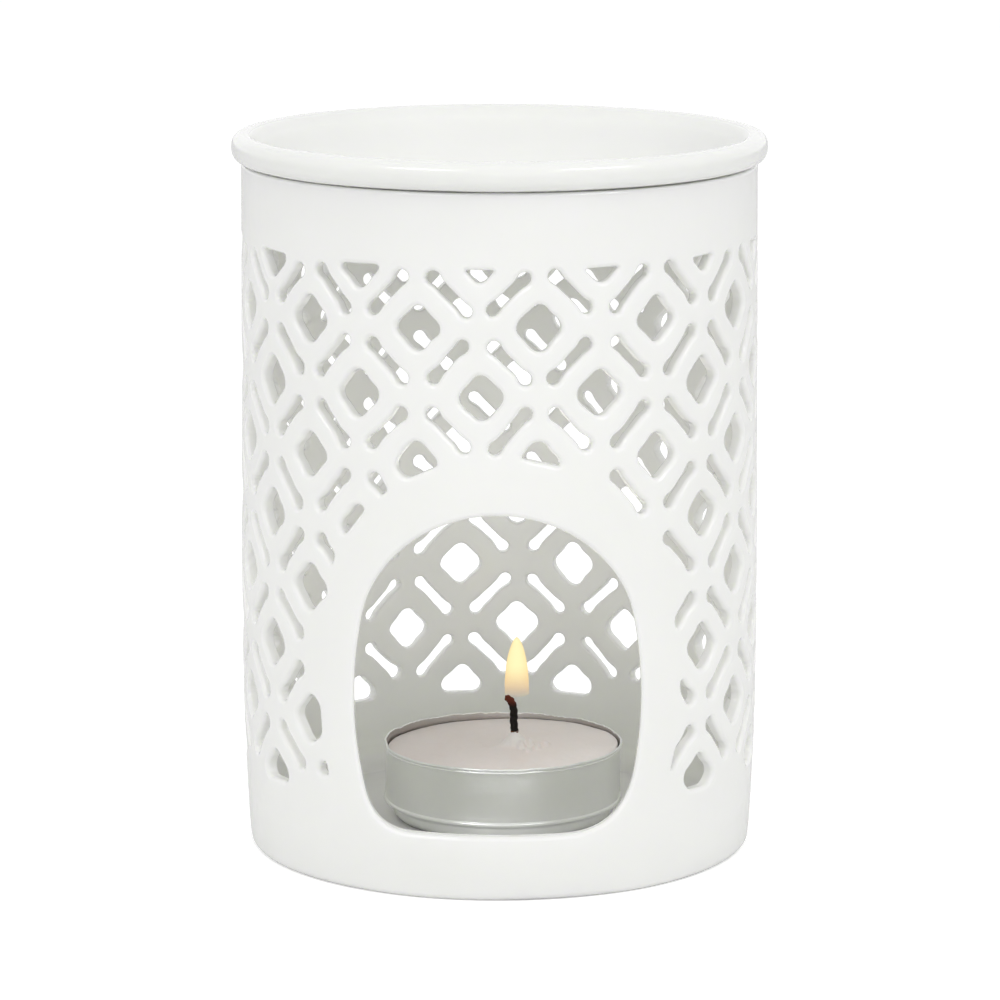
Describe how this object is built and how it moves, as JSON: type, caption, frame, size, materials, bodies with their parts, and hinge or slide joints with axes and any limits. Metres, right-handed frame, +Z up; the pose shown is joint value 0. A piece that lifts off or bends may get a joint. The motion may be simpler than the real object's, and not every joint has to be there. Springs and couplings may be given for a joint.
{
  "type": "tealight oil burner",
  "caption": "White glazed porcelain oil burner: a pierced cylindrical body with an arched tealight window and a loose oil dish resting on top.",
  "frame": {"origin": "centre of the foot, on the surface that the burner stands on", "axes": "+Z up along the body's own axis, -Y towards the front with the arched tealight window, +X to the right as seen from the front"},
  "size_m": [0.0834, 0.0834, 0.113],
  "materials": {
    "porcelain": "gloss glaze",
    "aluminium": "thin drawn foil, slightly crinkled",
    "wax": "soft satin",
    "tinned_steel": "satin",
    "cotton": "charred braid"
  },
  "bodies": {
    "body": {"burner_body": "porcelain"},
    "dish": {"oil_dish": "porcelain"},
    "tealight": {"tealight_cup": "aluminium", "tealight_wax": "wax", "wick_sustainer": "tinned_steel", "wick": "cotton"}
  },
  "joints": [
    {"name": "dish_lift", "type": "slide", "parent": "body", "child": "dish", "axis": [0, 0, 1], "range_m": [0, 0.03]},
    {"name": "tealight_slide", "type": "slide", "parent": "body", "child": "tealight", "axis": [0, -0.9135, 0.4067], "range_m": [0, 0.072]}
  ]
}
